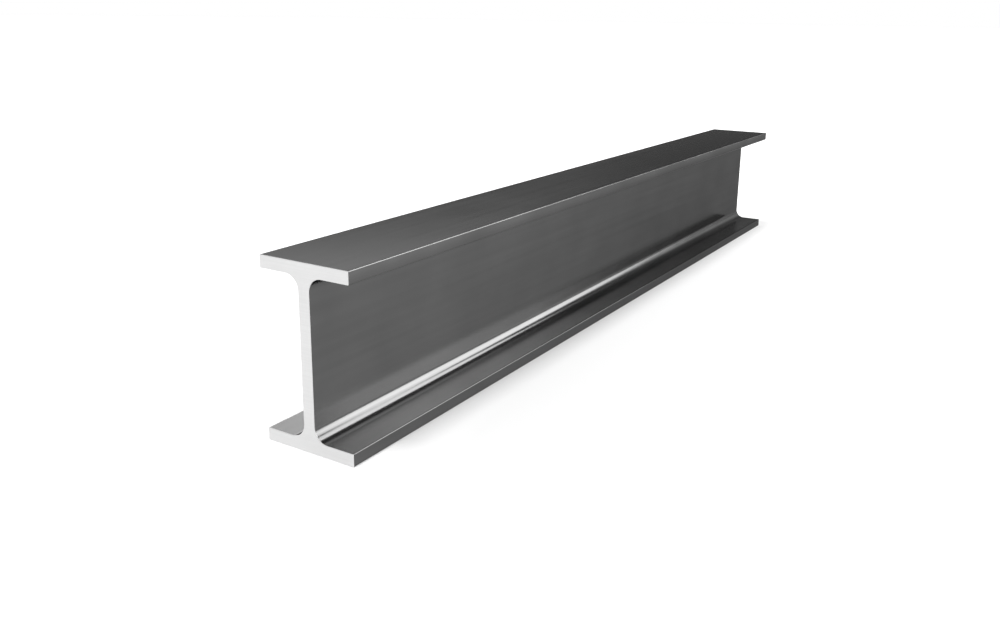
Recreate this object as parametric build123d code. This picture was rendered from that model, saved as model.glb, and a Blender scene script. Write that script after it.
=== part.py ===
from build123d import *
import os

# A rolled steel I-beam with parallel flanges, sawn square to length.
# It lies on its lower flange with the web upright: X runs along the beam,
# Y across the flanges and Z up. The origin is the middle of its underside.
# All sizes are in millimetres.

SECTION_DEPTH = 150.0
FLANGE_WIDTH = 86.0
FLANGE_THICKNESS = 10.5
WEB_THICKNESS = 10.5
ROOT_RADIUS = 12.0
TOE_RADIUS = 0.8
BEAM_LENGTH = 1000.0
SAWN_EDGE_BREAK = 0.5

# How near two places count as the same.
SAME_PLACE = 1e-6


def is_root(corner):
    """True for the four inner corners, where the web meets a flange."""
    return abs(abs(corner.X) - WEB_THICKNESS / 2) < SAME_PLACE


def is_toe(corner):
    """True for the eight corners at the free edges of the flanges."""
    return abs(abs(corner.X) - FLANGE_WIDTH / 2) < SAME_PLACE


def rolled_section():
    """The I section, centred on its own middle: X across the flanges, Y up."""
    flange_middle = (SECTION_DEPTH - FLANGE_THICKNESS) / 2
    with BuildSketch() as section:
        with Locations((0, flange_middle), (0, -flange_middle)):
            Rectangle(FLANGE_WIDTH, FLANGE_THICKNESS)
        Rectangle(WEB_THICKNESS, 2 * flange_middle)
        fillet(section.vertices().filter_by(is_root), ROOT_RADIUS)
        fillet(section.vertices().filter_by(is_toe), TOE_RADIUS)
    return section.sketch


def i_beam():
    """The section drawn out along the beam, with the burr taken off both sawn ends."""
    underside_middle = Location((0, 0, SECTION_DEPTH / 2))
    standing_section = underside_middle * Plane.YZ.location * rolled_section()
    beam = extrude(standing_section, amount=BEAM_LENGTH / 2, both=True)
    sawn_ends = beam.faces().sort_by(Axis.X)
    sawn_edges = sawn_ends.first.edges() + sawn_ends.last.edges()
    beam = chamfer(sawn_edges, SAWN_EDGE_BREAK)
    return beam


os.makedirs("parts", exist_ok=True)
export_step(i_beam(), "parts/i_beam.step")
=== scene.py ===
import math

import bmesh
import bpy
from mathutils import Matrix, Vector


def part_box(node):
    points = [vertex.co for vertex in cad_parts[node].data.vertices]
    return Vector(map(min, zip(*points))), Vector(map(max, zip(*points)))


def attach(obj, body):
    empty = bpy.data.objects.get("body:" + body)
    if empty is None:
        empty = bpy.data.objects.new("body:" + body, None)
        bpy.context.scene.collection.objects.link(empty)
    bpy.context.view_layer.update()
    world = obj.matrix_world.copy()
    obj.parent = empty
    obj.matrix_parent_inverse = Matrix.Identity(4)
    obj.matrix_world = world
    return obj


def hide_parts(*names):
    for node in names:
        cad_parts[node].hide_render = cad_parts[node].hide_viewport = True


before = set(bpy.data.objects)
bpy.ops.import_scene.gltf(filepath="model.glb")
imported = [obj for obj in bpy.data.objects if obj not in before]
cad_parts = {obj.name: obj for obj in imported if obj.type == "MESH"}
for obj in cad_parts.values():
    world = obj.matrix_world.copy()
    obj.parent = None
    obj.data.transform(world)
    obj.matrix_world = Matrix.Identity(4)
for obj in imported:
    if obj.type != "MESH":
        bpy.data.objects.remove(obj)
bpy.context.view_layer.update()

# A rolled steel I-beam, 1 m long, standing on its lower flange on a white studio floor.
# Metres throughout. X runs along the beam, Y across the flanges, Z up from the floor.

# The beam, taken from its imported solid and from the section's own sizes.
BEAM_LOW, BEAM_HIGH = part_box("i_beam")
FLANGE_THICKNESS = 0.0105
WEB_THICKNESS = 0.0105
ROOT_RADIUS = 0.012
TOE_RADIUS = 0.0008
EDGE_BREAK = 0.0005
ROOT_SEGMENTS = 24
TOE_SEGMENTS = 6
BREAK_SEGMENTS = 2
SECTIONS_ALONG = 20

LENGTH = BEAM_HIGH.x - BEAM_LOW.x
HALF_WIDTH = BEAM_HIGH.y
HALF_WEB = WEB_THICKNESS / 2
BOTTOM = BEAM_LOW.z
TOP = BEAM_HIGH.z
LEDGE = BOTTOM + FLANGE_THICKNESS
SOFFIT = TOP - FLANGE_THICKNESS

# How near two places count as the same.
SAME_PLACE = EDGE_BREAK / 10

# The beam's two finishes, by material slot. A face counts as sawn, broken edges and all, where
# its normal has at least this much of X in it.
MILL_SLOT = 0
SAWN_SLOT = 1
SAWN_LEAN = 0.3

# The mark on the beam's mesh for its toes' wear and painted light. The top flange's toes are
# brightened, partly as real edge wear and partly as a painted highlight line, and the strip of
# its sides that lies this near the top gets a weaker painted highlight. The lower toes' share is
# below zero, which paints them darker than the rest as painted shade, so their highlight reads
# dimmer.
WEAR_AND_HIGHLIGHT = "toe_wear_and_highlight"
TOE_WEAR_AND_HIGHLIGHT = 1.0
SIDE_HIGHLIGHT = 0.4
SIDE_HIGHLIGHT_DEPTH = 2 * TOE_RADIUS
LOWER_TOE_SHADE = -0.5

# The mark for the lower flange's ledges, which are painted brighter as a painted highlight that
# the web's foot mirrors too. It fades up the roots by this power, and ends this far below the
# ledge.
LEDGE_HIGHLIGHT = "painted_ledge_highlight"
LEDGE_HIGHLIGHT_FALL = 8
LEDGE_HIGHLIGHT_REACH = 0.0002

# What the toes' wear and painted light, and the ledges' painted highlight, add to the steel's
# reflectance and roughness, and how unevenly the toes' mark lies.
WEAR_AND_HIGHLIGHT_GAIN = 0.08
WEAR_AND_HIGHLIGHT_SHARE = (0.5, 1.0)
WORN_ROUGHNESS = 0.20
LEDGE_HIGHLIGHT_GAIN = 0.28
LEDGE_HIGHLIGHT_ROUGHNESS = 0.07

# Where the values of a noise pattern mostly lie.
NOISE_RANGE = (0.3, 0.7)

# The steel as rolled. Scales are in cycles a metre along X, Y and Z, and heights in metres.
# Reflectances run from 0 to 1, and tones multiply them. The sheen is the share of its mirroring
# that the steel keeps where it is seen almost edge on.
MILL_REFLECTANCE = 0.118
EDGE_SHEEN = 0.40
STREAK_SCALE = (2.5, 160.0, 160.0)
STREAK_DETAIL = 3.0
STREAK_TONES = (0.96, 1.04)
STREAK_ROUGHNESS = (0.14, 0.18)
STREAK_HEIGHT = 0.000003
MOTTLE_SCALE = (16.0, 22.0, 22.0)
MOTTLE_DETAIL = 4.0
MOTTLE_TONES = (0.95, 1.05)
MOTTLE_ROUGHNESS = (-0.01, 0.01)
PIT_SCALE = (1500.0, 1500.0, 1500.0)
PIT_DETAIL = 2.0
PIT_HEIGHT = 0.000002

# The sawn ends.
SAWN_REFLECTANCE = 0.77
SAWN_ROUGHNESS = (0.38, 0.48)
SAWN_MOTTLE_DETAIL = 3.0
SAWN_MOTTLE_TONES = (0.98, 1.02)
SAW_MARK_SCALE = (20.0, 12.0, 900.0)
SAW_MARK_DETAIL = 2.0
SAW_MARK_SLANT = 0.06
SAW_MARK_TONES = (0.97, 1.03)
SAW_MARK_HEIGHT = 0.000008

# The white floor: its paint, and its glow near the beam and far away, which rises from the one
# to the other over a reach in metres. The glow's low point lies in front of the beam, where it
# paints the floor darker round the shadow as painted shade, and behind the beam the higher glow
# paints out the beam's shadow. The steel mirrors a share of the floor as plain white.
FLOOR_HALF_SIZE = 60.0
FLOOR_GAP = 0.0001
FLOOR_PAINT = 0.73
FLOOR_GLOW = (0.03, 0.38)
FLOOR_GLOW_REACH = (0.15, 0.32)
FLOOR_GLOW_STRETCH = (0.25, 1.0, 1.0)
FLOOR_GLOW_SHIFT = (0.0, 0.20, 0.0)
FLOOR_MIRRORED = 1.0
FLOOR_MIRROR_SHARE = 0.7

# The room's brightness by height above the horizon, as the sine of the angle. FRONT_SKY is to
# the right of the beam, and OPEN_SKY is plain light far round to that side. END_SKY is ahead,
# along the beam, BACK_SKY is to its left, and NEAR_SKY is plain white round the near end.
FRONT_SKY = (
    (0.0, 1.0),
    (0.05, 1.20),
    (0.18, 1.30),
    (0.25, 2.00),
    (0.34, 0.60),
    (0.40, 0.15),
    (0.60, 0.15),
    (1.0, 0.30),
)
OPEN_SKY = (
    (0.0, 1.0),
    (1.0, 0.8),
)
END_SKY = (
    (0.0, 1.0),
    (0.025, 1.0),
    (0.045, 0.15),
    (0.22, 0.19),
    (0.32, 0.19),
    (0.60, 0.20),
    (1.0, 0.30),
)
BACK_SKY = (
    (0.0, 1.0),
    (0.025, 1.0),
    (0.045, 0.15),
    (0.14, 0.21),
    (0.19, 0.42),
    (0.23, 0.60),
    (0.26, 3.40),
    (0.30, 2.90),
    (0.40, 1.05),
    (0.50, 0.90),
    (0.60, 0.30),
    (1.0, 0.30),
)
NEAR_SKY = (
    (0.0, 1.0),
    (1.0, 1.0),
)

# Where each part of the room takes over from the last: over a range of the direction's Y, or
# of its X for the near end.
FRONT_TO_OPEN = (-0.65, -0.82)
FRONT_TO_END = (-0.10, 0.05)
END_TO_BACK = (0.30, 0.48)
FAR_TO_NEAR = (-0.05, -0.35)

# The softboxes: shape, place, aim, width, height and radiance.
SIDE_BOX = ("ELLIPSE", (7.70, -6.38, 1.75), (-0.1, 0.0, 0.1), 4.9, 7.4, 5.8)
UPPER_BOX = ("RECTANGLE", (1.45, -0.91, 1.71), (-0.4, 0.0, 0.02), 1.08, 1.00, 4.7)

# The two far lights: the side that they come from, their strength and their width in radians.
OVERHEAD = ((-0.32, 0.08, 1.0), 1.65, math.radians(12))
FRONT_FILL = ((-0.25, -0.6, 1.0), 0.5, math.radians(20))

# The camera, fitted to the photograph: pixels of a 1000 x 625 picture, the sensor's width in
# millimetres, metres and radians.
IMAGE_WIDTH = 1000
IMAGE_HEIGHT = 625
FOCAL_PIXELS = 926.18
OPTICAL_CENTRE_ROW = 260.0
SENSOR_WIDTH = 36.0
CLIP_END = 200
CAMERA_PLACE = (-0.9727, -0.45929, 0.3222)
CAMERA_HEADING = 0.5531
CAMERA_PITCH = -0.2562
CAMERA_ROLL = 0.0121


def new_object(name, builder):
    """A linked object whose mesh is made from a bmesh, with faces pointing outwards."""
    mesh = bpy.data.meshes.new(name)
    bmesh.ops.recalc_face_normals(builder, faces=builder.faces)
    builder.to_mesh(mesh)
    builder.free()
    piece = bpy.data.objects.new(name, mesh)
    bpy.context.scene.collection.objects.link(piece)
    return piece


def section_corners():
    """The twelve corners of the I section, in order round the outline, as (y, z)."""
    return (
        (-HALF_WIDTH, BOTTOM),
        (HALF_WIDTH, BOTTOM),
        (HALF_WIDTH, LEDGE),
        (HALF_WEB, LEDGE),
        (HALF_WEB, SOFFIT),
        (HALF_WIDTH, SOFFIT),
        (HALF_WIDTH, TOP),
        (-HALF_WIDTH, TOP),
        (-HALF_WIDTH, SOFFIT),
        (-HALF_WEB, SOFFIT),
        (-HALF_WEB, LEDGE),
        (-HALF_WIDTH, LEDGE),
    )


def round_corners(builder, corners, radius, segments):
    """Rounds the given corners of the flat section to an arc."""
    bmesh.ops.bevel(
        builder,
        geom=corners,
        offset=radius,
        offset_type="OFFSET",
        affect="VERTICES",
        segments=segments,
        profile=0.5,
        material=-1,
    )


def mark_wear_and_highlight(builder):
    """Marks the toes: the top flange's get wear and a painted highlight, the lower ones painted
    shade.
    """
    wear_and_highlight = builder.verts.layers.float.new(WEAR_AND_HIGHLIGHT)
    # Top flange toes: wear and a painted highlight; its side strip: a painted highlight; lower
    # toes: painted shade.
    for corner in builder.verts:
        from_side = HALF_WIDTH - abs(corner.co.y)
        if SAME_PLACE < from_side < TOE_RADIUS - SAME_PLACE:
            corner[wear_and_highlight] = TOE_WEAR_AND_HIGHLIGHT if corner.co.z > LEDGE + ROOT_RADIUS else LOWER_TOE_SHADE
        elif from_side < SAME_PLACE and corner.co.z > TOP - SIDE_HIGHLIGHT_DEPTH:
            corner[wear_and_highlight] = SIDE_HIGHLIGHT


def mark_ledge_highlight(builder):
    """Marks the lower flange's two ledges for a painted highlight, fading out up the roots."""
    ledge_highlight = builder.verts.layers.float.new(LEDGE_HIGHLIGHT)
    for corner in builder.verts:
        above_ledge = corner.co.z - LEDGE
        reach = ROOT_RADIUS if above_ledge > 0 else LEDGE_HIGHLIGHT_REACH
        share = max(0.0, 1.0 - abs(above_ledge) / reach)
        corner[ledge_highlight] = share ** LEDGE_HIGHLIGHT_FALL


def settle_order(builder):
    """Puts the corners and faces in order of place, which bevel leaves different at each run."""
    corners = sorted(builder.verts, key=lambda v: tuple(v.co))
    for number, corner in enumerate(corners):
        corner.index = number
    builder.verts.sort()
    faces = sorted(builder.faces, key=lambda f: sorted(v.index for v in f.verts))
    for number, face in enumerate(faces):
        face.index = number
    builder.faces.sort()


def rolled_beam():
    """The beam: its rounded section drawn out along X, with both sawn ends' edges broken."""
    builder = bmesh.new()
    corners = [builder.verts.new((BEAM_LOW.x, y, z)) for y, z in section_corners()]
    builder.faces.new(corners)
    roots = [v for v in corners if abs(abs(v.co.y) - HALF_WEB) < SAME_PLACE]
    round_corners(builder, roots, ROOT_RADIUS, ROOT_SEGMENTS)
    toes = [v for v in builder.verts if abs(abs(v.co.y) - HALF_WIDTH) < SAME_PLACE]
    round_corners(builder, toes, TOE_RADIUS, TOE_SEGMENTS)
    mark_wear_and_highlight(builder)
    mark_ledge_highlight(builder)

    drawn = bmesh.ops.extrude_face_region(builder, geom=builder.faces[:])
    far_end = [g for g in drawn["geom"] if isinstance(g, bmesh.types.BMVert)]
    bmesh.ops.translate(builder, verts=far_end, vec=(LENGTH, 0, 0))
    builder.normal_update()

    sawn_edges = [
        e for e in builder.edges
        if abs(e.verts[0].co.x - e.verts[1].co.x) < SAME_PLACE
    ]
    bmesh.ops.bevel(
        builder,
        geom=sawn_edges,
        offset=EDGE_BREAK,
        offset_type="OFFSET",
        affect="EDGES",
        segments=BREAK_SEGMENTS,
        profile=0.5,
        material=-1,
    )
    for number in range(1, SECTIONS_ALONG):
        bmesh.ops.bisect_plane(
            builder,
            geom=builder.verts[:] + builder.edges[:] + builder.faces[:],
            plane_co=(BEAM_LOW.x + LENGTH * number / SECTIONS_ALONG, 0, 0),
            plane_no=(1, 0, 0),
        )
    settle_order(builder)
    beam = new_object("rolled_beam", builder)
    for face in beam.data.polygons:
        face.use_smooth = True
        face.material_index = SAWN_SLOT if abs(face.normal.x) > SAWN_LEAN else MILL_SLOT
    return beam


def plain_colour(level):
    """A neutral colour of the given level, for a socket or a colour stop."""
    return (level, level, level, 1.0)


def add_node(tree, kind, values=None, **settings):
    """A shader node with its settings and its inputs' plain values."""
    node = tree.nodes.new(kind)
    for name, value in settings.items():
        setattr(node, name, value)
    for name, value in (values or {}).items():
        node.inputs[name].default_value = value
    return node


def new_material(name):
    """An empty node material with its output, and the tree to fill."""
    material = bpy.data.materials.new(name)
    material.use_nodes = True
    tree = material.node_tree
    tree.nodes.clear()
    output = add_node(tree, "ShaderNodeOutputMaterial")
    return material, tree, output


def grain(tree, stretch, detail, rotation=(0, 0, 0)):
    """A noise pattern in the piece's own metres, with its own scale along X, Y and Z."""
    place = add_node(tree, "ShaderNodeTexCoord")
    turned = add_node(tree, "ShaderNodeMapping", {"Scale": stretch, "Rotation": rotation})
    noise = add_node(tree, "ShaderNodeTexNoise", {"Scale": 1.0, "Detail": detail})
    tree.links.new(place.outputs["Object"], turned.inputs["Vector"])
    tree.links.new(turned.outputs["Vector"], noise.inputs["Vector"])
    return noise.outputs["Fac"]


def spread(tree, value, low, high, start=NOISE_RANGE[0], end=NOISE_RANGE[1]):
    """The value, taken from its own range to run from low to high."""
    ranged = add_node(
        tree,
        "ShaderNodeMapRange",
        {"From Min": start, "From Max": end, "To Min": low, "To Max": high},
    )
    tree.links.new(value, ranged.inputs["Value"])
    return ranged.outputs["Result"]


def combine(tree, operation, first, second):
    """Two values put through one arithmetic operation: each is a socket or a plain number."""
    joined = add_node(tree, "ShaderNodeMath", operation=operation)
    for place, value in enumerate((first, second)):
        if isinstance(value, (int, float)):
            joined.inputs[place].default_value = value
        else:
            tree.links.new(value, joined.inputs[place])
    return joined.outputs["Value"]


def grey(tree, level):
    """A neutral colour of a level that varies over the surface."""
    colour = add_node(tree, "ShaderNodeCombineColor")
    for channel in ("Red", "Green", "Blue"):
        tree.links.new(level, colour.inputs[channel])
    return colour.outputs["Color"]


def relief(tree, height):
    """A bump from a height pattern in metres."""
    bump = add_node(tree, "ShaderNodeBump", {"Strength": 1.0, "Distance": 1.0})
    tree.links.new(height, bump.inputs["Height"])
    return bump.outputs["Normal"]


def marked(tree, name):
    """How far a point is marked by one of the mesh's own attributes."""
    mark = add_node(tree, "ShaderNodeAttribute", attribute_name=name)
    return mark.outputs["Fac"]


def mill_finish():
    """Dark steel as it leaves the rolls: streaked, worn on its top toes, with painted highlights
    on them and its ledges, and painted shade on its lower toes.
    """
    material, tree, output = new_material("mill_finish")
    streaks = grain(tree, STREAK_SCALE, STREAK_DETAIL)
    mottle = grain(tree, MOTTLE_SCALE, MOTTLE_DETAIL)
    pits = grain(tree, PIT_SCALE, PIT_DETAIL)
    # The toes' mark: real wear and painted highlights on top, painted shade on the lower toes.
    wear_and_highlight = combine(tree, "MULTIPLY", marked(tree, WEAR_AND_HIGHLIGHT), spread(tree, mottle, *WEAR_AND_HIGHLIGHT_SHARE))
    ledge_highlight = marked(tree, LEDGE_HIGHLIGHT)

    tone = combine(
        tree,
        "MULTIPLY",
        spread(tree, streaks, *STREAK_TONES),
        spread(tree, mottle, *MOTTLE_TONES),
    )
    # The ledges' painted highlight, which lightens the lower flange's inner faces and the roots
    # above.
    bright = combine(tree, "MULTIPLY", ledge_highlight, LEDGE_HIGHLIGHT_GAIN)
    level = combine(tree, "MULTIPLY", tone, combine(tree, "ADD", bright, MILL_REFLECTANCE))
    level = combine(tree, "ADD", level, combine(tree, "MULTIPLY", wear_and_highlight, WEAR_AND_HIGHLIGHT_GAIN))

    rough = combine(
        tree,
        "ADD",
        spread(tree, streaks, *STREAK_ROUGHNESS),
        spread(tree, mottle, *MOTTLE_ROUGHNESS),
    )
    rough = combine(tree, "ADD", rough, combine(tree, "MULTIPLY", wear_and_highlight, WORN_ROUGHNESS))
    rough = combine(tree, "ADD", rough, combine(tree, "MULTIPLY", ledge_highlight, LEDGE_HIGHLIGHT_ROUGHNESS))

    height = combine(
        tree,
        "ADD",
        combine(tree, "MULTIPLY", streaks, STREAK_HEIGHT),
        combine(tree, "MULTIPLY", pits, PIT_HEIGHT),
    )
    shader = add_node(
        tree,
        "ShaderNodeBsdfPrincipled",
        {"Metallic": 1.0, "Specular Tint": plain_colour(EDGE_SHEEN)},
    )
    tree.links.new(grey(tree, level), shader.inputs["Base Color"])
    tree.links.new(rough, shader.inputs["Roughness"])
    tree.links.new(relief(tree, height), shader.inputs["Normal"])
    tree.links.new(shader.outputs["BSDF"], output.inputs["Surface"])
    return material


def sawn_steel():
    """Bright bare steel on the sawn ends, with fine saw marks across them."""
    material, tree, output = new_material("sawn_steel")
    marks = grain(tree, SAW_MARK_SCALE, SAW_MARK_DETAIL, rotation=(SAW_MARK_SLANT, 0, 0))
    mottle = grain(tree, MOTTLE_SCALE, SAWN_MOTTLE_DETAIL)
    tone = combine(
        tree,
        "MULTIPLY",
        spread(tree, marks, *SAW_MARK_TONES),
        spread(tree, mottle, *SAWN_MOTTLE_TONES),
    )
    level = combine(tree, "MULTIPLY", tone, SAWN_REFLECTANCE)
    height = combine(tree, "MULTIPLY", marks, SAW_MARK_HEIGHT)
    shader = add_node(tree, "ShaderNodeBsdfPrincipled", {"Metallic": 1.0})
    tree.links.new(grey(tree, level), shader.inputs["Base Color"])
    tree.links.new(spread(tree, marks, *SAWN_ROUGHNESS), shader.inputs["Roughness"])
    tree.links.new(relief(tree, height), shader.inputs["Normal"])
    tree.links.new(shader.outputs["BSDF"], output.inputs["Surface"])
    return material


def studio_white():
    """The floor's white paint with a faint glow, lowest in front of the beam as painted shade,
    which the steel mirrors partly as plain white.
    """
    material, tree, output = new_material("studio_white")
    place = add_node(tree, "ShaderNodeTexCoord")
    along = add_node(
        tree,
        "ShaderNodeMapping",
        {"Location": FLOOR_GLOW_SHIFT, "Scale": FLOOR_GLOW_STRETCH},
    )
    distance = add_node(tree, "ShaderNodeVectorMath", operation="LENGTH")
    tree.links.new(place.outputs["Object"], along.inputs["Vector"])
    tree.links.new(along.outputs["Vector"], distance.inputs["Vector"])

    paint = add_node(tree, "ShaderNodeBsdfDiffuse", {"Color": plain_colour(FLOOR_PAINT)})
    glow = add_node(tree, "ShaderNodeEmission")
    # The glow is lowest in front of the beam, as painted shade, and higher behind it and far away,
    # where it paints out the shadow.
    level = spread(tree, distance.outputs["Value"], *FLOOR_GLOW, *FLOOR_GLOW_REACH)
    tree.links.new(level, glow.inputs["Strength"])
    glowing = add_node(tree, "ShaderNodeAddShader")
    tree.links.new(paint.outputs["BSDF"], glowing.inputs[0])
    tree.links.new(glow.outputs["Emission"], glowing.inputs[1])

    mirrored = add_node(tree, "ShaderNodeEmission", {"Strength": FLOOR_MIRRORED})
    ray = add_node(tree, "ShaderNodeLightPath")
    share = combine(tree, "MULTIPLY", ray.outputs["Is Glossy Ray"], FLOOR_MIRROR_SHARE)
    seen = add_node(tree, "ShaderNodeMixShader")
    tree.links.new(share, seen.inputs["Fac"])
    tree.links.new(glowing.outputs["Shader"], seen.inputs[1])
    tree.links.new(mirrored.outputs["Emission"], seen.inputs[2])
    tree.links.new(seen.outputs["Shader"], output.inputs["Surface"])
    return material


def studio_floor():
    """A wide white floor just under the beam."""
    builder = bmesh.new()
    bmesh.ops.create_grid(builder, x_segments=1, y_segments=1, size=FLOOR_HALF_SIZE)
    floor = new_object("studio_floor", builder)
    floor.data.transform(Matrix.Translation((0, 0, BOTTOM - FLOOR_GAP)))
    floor.data.materials.append(studio_white())


def sky_ramp(tree, height, levels):
    """The brightness of one part of the room, by height."""
    ramp = add_node(tree, "ShaderNodeValToRGB")
    elements = ramp.color_ramp.elements
    for stop, (place, level) in zip(elements, (levels[0], levels[-1])):
        stop.position = place
        stop.color = plain_colour(level)
    for place, level in levels[1:-1]:
        stop = elements.new(place)
        stop.color = plain_colour(level)
    tree.links.new(height, ramp.inputs["Fac"])
    return ramp.outputs["Color"]


def studio_sky():
    """The room round the beam: white at the horizon, with darker and brighter bands above it."""
    world = bpy.data.worlds.new("studio")
    bpy.context.scene.world = world
    world.use_nodes = True
    tree = world.node_tree
    tree.nodes.clear()
    direction = add_node(tree, "ShaderNodeTexCoord")
    split = add_node(tree, "ShaderNodeSeparateXYZ")
    tree.links.new(direction.outputs["Generated"], split.inputs["Vector"])
    level = sky_ramp(tree, split.outputs["Z"], FRONT_SKY)
    sides = (
        (OPEN_SKY, "Y", FRONT_TO_OPEN),
        (END_SKY, "Y", FRONT_TO_END),
        (BACK_SKY, "Y", END_TO_BACK),
        (NEAR_SKY, "X", FAR_TO_NEAR),
    )
    for levels, axis, turn in sides:
        both = add_node(tree, "ShaderNodeMix", data_type="RGBA")
        tree.links.new(spread(tree, split.outputs[axis], 0.0, 1.0, *turn), both.inputs["Factor"])
        tree.links.new(level, both.inputs["A"])
        tree.links.new(sky_ramp(tree, split.outputs["Z"], levels), both.inputs["B"])
        level = both.outputs["Result"]
    background = add_node(tree, "ShaderNodeBackground")
    output = add_node(tree, "ShaderNodeOutputWorld")
    tree.links.new(level, background.inputs["Color"])
    tree.links.new(background.outputs["Background"], output.inputs["Surface"])


def aimed(lamp, place, aim):
    """Puts a lamp into the scene at a place, facing a point, hidden from the camera."""
    holder = bpy.data.objects.new(lamp.name, lamp)
    bpy.context.scene.collection.objects.link(holder)
    facing = Vector(aim) - Vector(place)
    turn = facing.to_track_quat("-Z", "Y").to_matrix().to_4x4()
    holder.matrix_world = Matrix.Translation(place) @ turn
    holder.visible_camera = False
    return holder


def softbox(name, shape, place, aim, width, height, radiance):
    """A flat lamp of an even brightness."""
    lamp = bpy.data.lights.new(name, "AREA")
    lamp.shape = shape
    lamp.size = width
    lamp.size_y = height
    area = width * height * (1.0 if shape == "RECTANGLE" else math.pi / 4)
    lamp.energy = radiance * math.pi * area
    aimed(lamp, place, aim)


def far_light(name, place, strength, width):
    """A far light for the floor and its soft shadow, which the steel doesn't mirror as a glint."""
    lamp = bpy.data.lights.new(name, "SUN")
    lamp.energy = strength
    lamp.angle = width
    holder = aimed(lamp, place, (0, 0, 0))
    holder.visible_glossy = False


def camera():
    """The camera at the photograph's place: near one end, a little above the beam."""
    lens = bpy.data.cameras.new("camera")
    lens.sensor_fit = "HORIZONTAL"
    lens.sensor_width = SENSOR_WIDTH
    lens.lens = FOCAL_PIXELS * SENSOR_WIDTH / IMAGE_WIDTH
    lens.shift_y = (OPTICAL_CENTRE_ROW - IMAGE_HEIGHT / 2) / IMAGE_WIDTH
    lens.clip_end = CLIP_END
    eye = bpy.data.objects.new("camera", lens)
    bpy.context.scene.collection.objects.link(eye)
    eye.matrix_world = (
        Matrix.Translation(CAMERA_PLACE)
        @ Matrix.Rotation(CAMERA_HEADING - math.pi / 2, 4, "Z")
        @ Matrix.Rotation(math.pi / 2 + CAMERA_PITCH, 4, "X")
        @ Matrix.Rotation(CAMERA_ROLL, 4, "Z")
    )
    bpy.context.scene.camera = eye


beam = rolled_beam()
beam.data.materials.append(mill_finish())
beam.data.materials.append(sawn_steel())
# The large flat faces keep an even shade beside the rounded ones.
shading = beam.modifiers.new("even_flats", "WEIGHTED_NORMAL")
shading.keep_sharp = True
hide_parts("i_beam")
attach(beam, "root")

studio_floor()
studio_sky()
softbox("side_box", *SIDE_BOX)
softbox("upper_box", *UPPER_BOX)
far_light("overhead", *OVERHEAD)
far_light("front_fill", *FRONT_FILL)
camera()

bpy.context.scene.view_settings.view_transform = "Standard"
